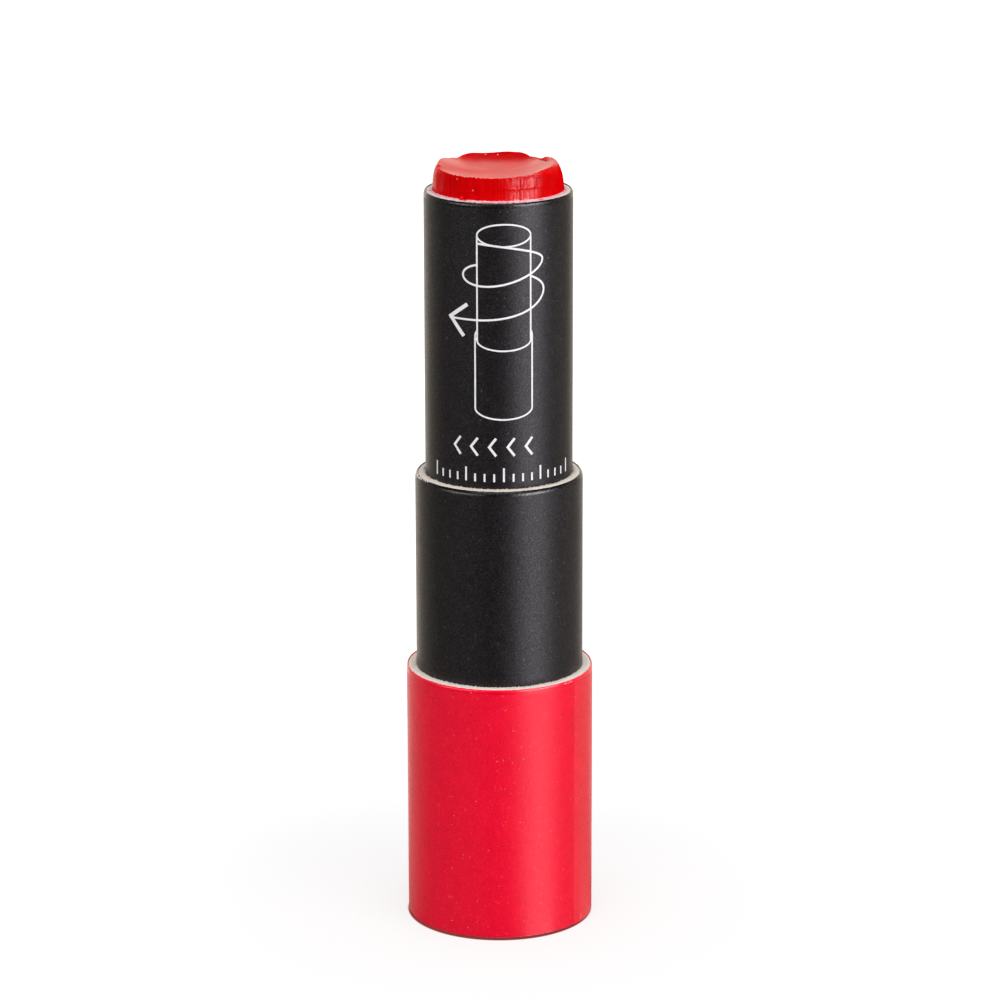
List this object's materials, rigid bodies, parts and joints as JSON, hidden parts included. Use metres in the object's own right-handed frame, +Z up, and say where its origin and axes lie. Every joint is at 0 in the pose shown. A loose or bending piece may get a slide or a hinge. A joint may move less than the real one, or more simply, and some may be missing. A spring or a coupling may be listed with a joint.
{
  "type": "paper tube lipstick",
  "caption": "Lipstick in telescoping paper tubes: a red base, a narrower black neck, and a black sleeve that slides and turns round a worn red bullet.",
  "frame": {"origin": "centre of the foot, on the surface that the tube stands on", "axes": "+Z up the tube towards the bullet; -Y is the side that the picture shows"},
  "size_m": [0.02, 0.02, 0.083],
  "materials": {
    "board": "grey-white wound board, cut edges fibrous",
    "red_paper": "red printed paper with a soft satin coating",
    "black_paper": "black printed paper with a soft satin coating",
    "greaseproof": "thin greaseproof paper",
    "wax": "deep red wax, worn matte on top and smooth at the side"
  },
  "bodies": {
    "base": {"base_tube": "board", "base_wrap": "red_paper", "base_disc": "board", "neck_tube": "board", "neck_wrap": "black_paper", "post_tube": "board", "post_collar": "board", "post_plug": "board"},
    "carrier": {"carrier_tube": "board", "carrier_disc": "board", "bullet": "wax"},
    "sleeve": {"sleeve_tube": "board", "sleeve_wrap": "black_paper", "sleeve_liner": "greaseproof"}
  },
  "joints": [
    {"name": "tube_twist", "type": "hinge", "parent": "base", "child": "carrier", "pos_m": [0, 0, 0.045], "axis": [0, 0, 1], "continuous": true},
    {"name": "tube_push", "type": "slide", "parent": "carrier", "child": "sleeve", "axis": [0, 0, -1], "range_m": [-0.005, 0.03]}
  ]
}
